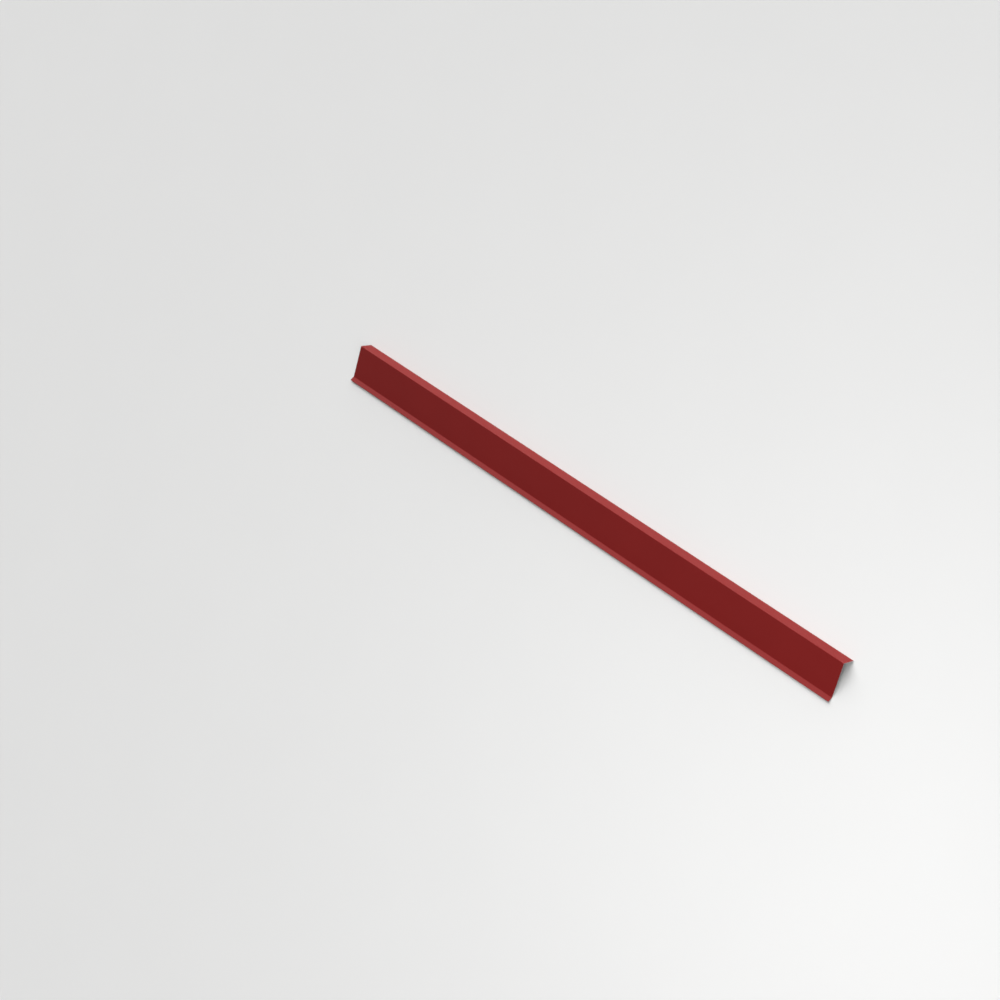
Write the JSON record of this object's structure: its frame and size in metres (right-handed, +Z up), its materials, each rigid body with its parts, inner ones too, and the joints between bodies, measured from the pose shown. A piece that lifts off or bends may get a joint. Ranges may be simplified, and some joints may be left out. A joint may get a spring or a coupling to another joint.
{
  "type": "roof edge trim",
  "caption": "Folded coated steel roof edge trim: a flange to go under the roofing, a deep plain face and a hemmed drip lip kicked out at the foot.",
  "frame": {"origin": "middle of the length and of the width, on the floor that the trim lies on", "axes": "+X along the length, +Y towards the flange, +Z up from the floor, with the good side up"},
  "size_m": [2, 0.1272, 0.0388],
  "materials": {
    "red_coating": "satin red coil coating on galvanised steel sheet"
  },
  "bodies": {
    "root": {"edge_trim": "red_coating"}
  },
  "joints": []
}
